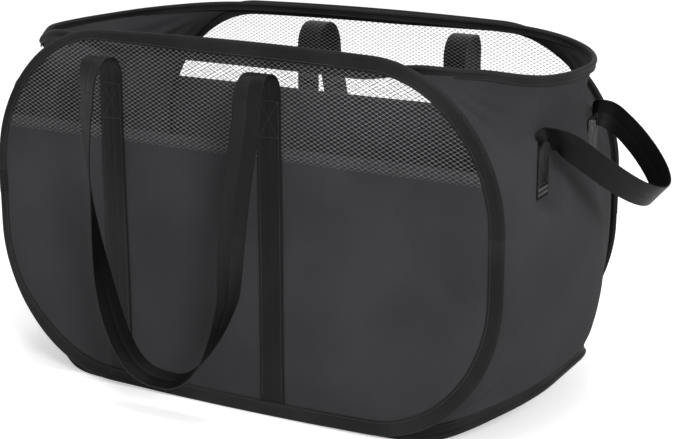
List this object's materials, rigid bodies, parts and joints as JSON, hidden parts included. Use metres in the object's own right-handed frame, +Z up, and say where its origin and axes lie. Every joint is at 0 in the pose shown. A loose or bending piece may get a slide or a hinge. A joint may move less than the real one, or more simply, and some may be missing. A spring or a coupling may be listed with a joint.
{
  "type": "pop-up laundry hamper",
  "caption": "Pop-up laundry hamper: spring-wire loops in tape carry fabric and net panels, an open top, long webbing handles on the faces and short grips on the ends",
  "frame": {"origin": "on the floor, under the middle of the base", "axes": "+X along the long side to the right seen from the front, -Y out of the front face, +Z up"},
  "size_m": [0.8378, 0.458, 0.4049],
  "materials": {
    "charcoal_cloth": "plain-woven coated polyester, matt charcoal",
    "net_yarn": "knitted polyester net with staggered lozenge holes",
    "dark_tape": "twill binding tape, folded over the wire and stitched",
    "black_webbing": "ribbed polyester webbing with a slight sheen",
    "spring_steel": "bare tempered spring wire",
    "plated_steel": "zinc plated crimp tube"
  },
  "bodies": {
    "base": {"base_panel": "charcoal_cloth", "base_binding": "dark_tape", "base_spring_wire": "spring_steel", "base_wire_sleeve": "plated_steel", "left_end_panel": "charcoal_cloth", "right_end_panel": "charcoal_cloth"},
    "front_face": {"front_panel": "charcoal_cloth", "front_mesh": "net_yarn", "front_binding": "dark_tape", "front_spring_wire": "spring_steel", "front_wire_sleeve": "plated_steel", "front_handle_strap_left": "black_webbing", "front_handle_strap_right": "black_webbing"},
    "back_face": {"back_panel": "charcoal_cloth", "back_mesh": "net_yarn", "back_binding": "dark_tape", "back_spring_wire": "spring_steel", "back_wire_sleeve": "plated_steel", "back_handle_strap_left": "black_webbing", "back_handle_strap_right": "black_webbing"},
    "rim": {"rim_binding": "dark_tape", "rim_spring_wire": "spring_steel", "rim_wire_sleeve": "plated_steel"},
    "front_handle": {"front_handle_loop": "black_webbing"},
    "back_handle": {"back_handle_loop": "black_webbing"},
    "left_grip_seat": {"left_handle_tail_front": "black_webbing", "left_handle_tail_back": "black_webbing"},
    "left_grip": {"left_handle_loop": "black_webbing"},
    "right_grip_seat": {"right_handle_tail_front": "black_webbing", "right_handle_tail_back": "black_webbing"},
    "right_grip": {"right_handle_loop": "black_webbing"}
  },
  "joints": [
    {"name": "front_fold", "type": "hinge", "parent": "base", "child": "front_face", "pos_m": [0, -0.163, 0.009], "axis": [-1, 0, 0], "range_deg": [0, 75], "stiffness_Nm_per_rad": 4, "springref_deg": -14.32, "deforming": ["left_end_panel", "right_end_panel", "rim_binding", "rim_spring_wire"]},
    {"name": "back_fold", "type": "hinge", "parent": "base", "child": "back_face", "pos_m": [0, 0.163, 0.00335], "axis": [-1, 0, 0], "range_deg": [0, 75]},
    {"name": "rim_fold", "type": "hinge", "parent": "front_face", "child": "rim", "pos_m": [0, -0.163, 0.3915], "axis": [-1, 0, 0], "range_deg": [-75, 0]},
    {"name": "left_grip_level", "type": "hinge", "parent": "front_face", "child": "left_grip_seat", "pos_m": [-0.313, -0.163, 0.27], "axis": [-1, 0, 0], "range_deg": [-75, 0]},
    {"name": "right_grip_level", "type": "hinge", "parent": "front_face", "child": "right_grip_seat", "pos_m": [0.313, -0.163, 0.27], "axis": [-1, 0, 0], "range_deg": [-75, 0]},
    {"name": "front_handle_swing", "type": "hinge", "parent": "front_face", "child": "front_handle", "pos_m": [-0.051, -0.1865, 0.3778], "axis": [-1, 0, 0], "range_deg": [0, 150]},
    {"name": "back_handle_swing", "type": "hinge", "parent": "back_face", "child": "back_handle", "pos_m": [0.005, 0.1865, 0.3778], "axis": [1, 0, 0], "range_deg": [0, 150]},
    {"name": "left_grip_swing", "type": "hinge", "parent": "left_grip_seat", "child": "left_grip", "pos_m": [-0.31777, 0, 0.3178], "axis": [0, 1, 0], "range_deg": [0, 110]},
    {"name": "right_grip_swing", "type": "hinge", "parent": "right_grip_seat", "child": "right_grip", "pos_m": [0.31777, 0, 0.3178], "axis": [0, -1, 0], "range_deg": [0, 110]}
  ],
  "couplings": [
    {"joint": "back_fold", "follows": "front_fold", "ratio": 1},
    {"joint": "rim_fold", "follows": "front_fold", "ratio": -1},
    {"joint": "left_grip_level", "follows": "front_fold", "ratio": -1},
    {"joint": "right_grip_level", "follows": "front_fold", "ratio": -1}
  ]
}
